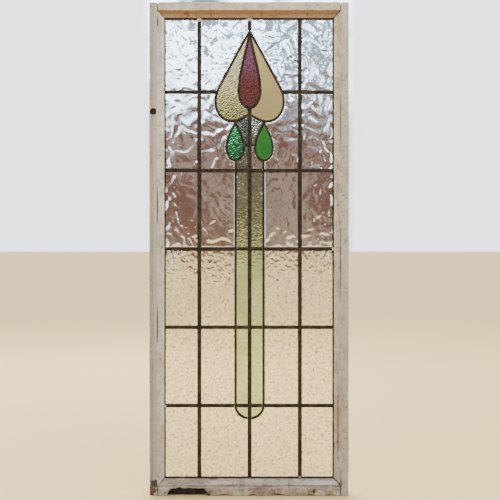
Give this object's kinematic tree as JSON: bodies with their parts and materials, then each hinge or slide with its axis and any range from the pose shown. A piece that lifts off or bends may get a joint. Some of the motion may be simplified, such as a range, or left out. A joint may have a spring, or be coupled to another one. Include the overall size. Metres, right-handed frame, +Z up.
{
  "type": "stained glass window",
  "caption": "Tall narrow leaded light in an old painted softwood frame: a bud on a long stem with two green drops, in a grid of clear rippled glass.",
  "frame": {"origin": "middle of the sill edge, the flat underside of the bottom rail, midway through its depth", "axes": "+Z up the window's height, +X along its width to the right as seen from the beaded face, +Y from the beaded face to the back"},
  "size_m": [0.48, 0.042, 1.188],
  "materials": {
    "frame_paint": "old cream white oil paint on softwood, chalky, cracked and chipped",
    "bead_paint": "old cream white paint on a pinned softwood bead, flaked to orange bare wood on the top bead",
    "lead": "dark weathered lead came, brown black, with dull soldered joints",
    "clear_glass": "colourless reamy glass, rippled on both faces",
    "amber_glass": "pale amber cathedral glass, hammered",
    "petal_glass": "purple to ruby hammered glass",
    "teal_glass": "bluish green hammered glass",
    "green_glass": "grass green hammered glass",
    "celadon_glass": "pale celadon green hammered glass",
    "calyx_glass": "pale grey green hammered glass"
  },
  "bodies": {
    "root": {"amber_pane_left": "amber_glass", "amber_pane_right": "amber_glass", "bead_bottom": "bead_paint", "bead_left": "bead_paint", "bead_right": "bead_paint", "bead_top": "bead_paint", "border_lead": "lead", "bud_lead_left": "lead", "bud_lead_right": "lead", "calyx_pane_lower_left": "calyx_glass", "calyx_pane_lower_right": "calyx_glass", "calyx_pane_upper_left": "calyx_glass", "calyx_pane_upper_right": "calyx_glass", "centre_lead": "lead", "drop_lead_left": "lead", "drop_lead_right": "lead", "drop_pane_left": "teal_glass", "drop_pane_right": "green_glass", "pane_row1_inner_left": "clear_glass", "pane_row1_inner_right": "clear_glass", "pane_row1_outer_left": "clear_glass", "pane_row1_outer_right": "clear_glass", "pane_row2_inner_left": "clear_glass", "pane_row2_inner_right": "clear_glass", "pane_row2_outer_left": "clear_glass", "pane_row2_outer_right": "clear_glass", "pane_row3_inner_left": "clear_glass", "pane_row3_inner_right": "clear_glass", "pane_row3_outer_left": "clear_glass", "pane_row3_outer_right": "clear_glass", "pane_row4_inner_left": "clear_glass", "pane_row4_inner_right": "clear_glass", "pane_row4_outer_left": "clear_glass", "pane_row4_outer_right": "clear_glass", "pane_row5_inner_left": "clear_glass", "pane_row5_inner_right": "clear_glass", "pane_row5_outer_left": "clear_glass", "pane_row5_outer_right": "clear_glass", "pane_row6_inner_left": "clear_glass", "pane_row6_inner_right": "clear_glass", "pane_row6_outer_left": "clear_glass", "pane_row6_outer_right": "clear_glass", "petal_lead": "lead", "petal_pane": "petal_glass", "rail_bottom": "frame_paint", "rail_top": "frame_paint", "stem_lead_left": "lead", "stem_lead_right": "lead", "stem_pane_row3_left": "celadon_glass", "stem_pane_row3_right": "celadon_glass", "stem_pane_row4_left": "celadon_glass", "stem_pane_row4_right": "celadon_glass", "stem_pane_row5_left": "celadon_glass", "stem_pane_row5_right": "celadon_glass", "stem_pane_row6_left": "celadon_glass", "stem_pane_row6_right": "celadon_glass", "stile_left": "frame_paint", "stile_right": "frame_paint", "upright_lead_left": "lead", "upright_lead_right": "lead"}
  },
  "joints": []
}
